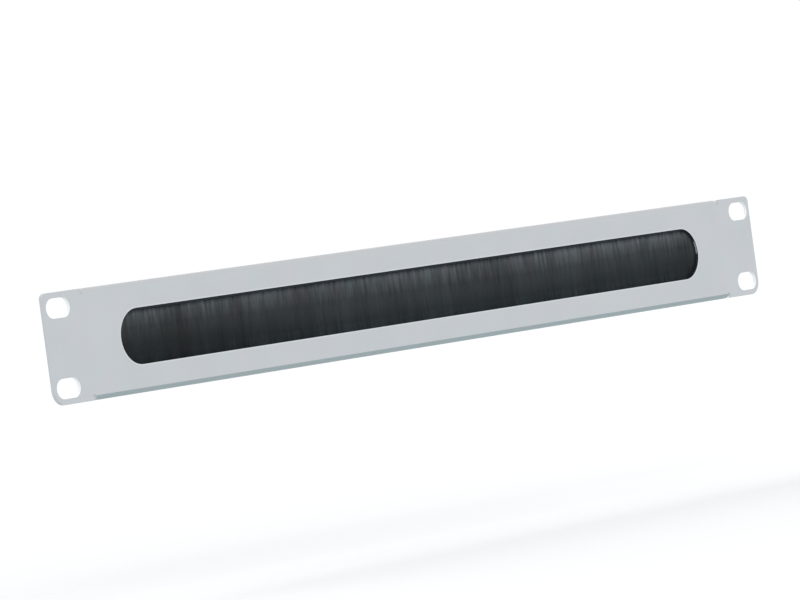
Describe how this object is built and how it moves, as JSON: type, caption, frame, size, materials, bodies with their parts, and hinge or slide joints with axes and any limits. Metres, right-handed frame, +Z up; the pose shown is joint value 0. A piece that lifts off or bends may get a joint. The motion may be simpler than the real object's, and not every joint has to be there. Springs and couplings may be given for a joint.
{
  "type": "rack brush strip panel",
  "caption": "Folded steel 1U panel for a 19 inch rack with a long round-ended cable opening closed by a strip brush clamped behind it.",
  "frame": {"origin": "midway between the four rack slots, on the rear face of the ears that seats on the rack rails", "axes": "+X along the panel to the right as seen from the front, +Y back into the rack, +Z up"},
  "size_m": [0.4826, 0.012, 0.0444],
  "materials": {
    "panel_coat": "smooth matte light grey powder coat on folded mild steel",
    "clamp_coat": "satin black coat on folded mild steel strip",
    "channel_steel": "black coat on rolled steel strip",
    "wire_steel": "drawn wire",
    "bristle_nylon": "black nylon filament",
    "zinc_fastener": "bright zinc plated steel"
  },
  "bodies": {
    "root": {"front_panel": "panel_coat", "clamp_bar": "clamp_coat", "brush_channel": "channel_steel", "core_wire": "wire_steel", "bristles": "bristle_nylon", "weld_stud_1": "zinc_fastener", "washer_1": "zinc_fastener", "nut_1": "zinc_fastener", "weld_stud_2": "zinc_fastener", "washer_2": "zinc_fastener", "nut_2": "zinc_fastener", "weld_stud_3": "zinc_fastener", "washer_3": "zinc_fastener", "nut_3": "zinc_fastener", "weld_stud_4": "zinc_fastener", "washer_4": "zinc_fastener", "nut_4": "zinc_fastener", "weld_stud_5": "zinc_fastener", "washer_5": "zinc_fastener", "nut_5": "zinc_fastener"}
  },
  "joints": []
}
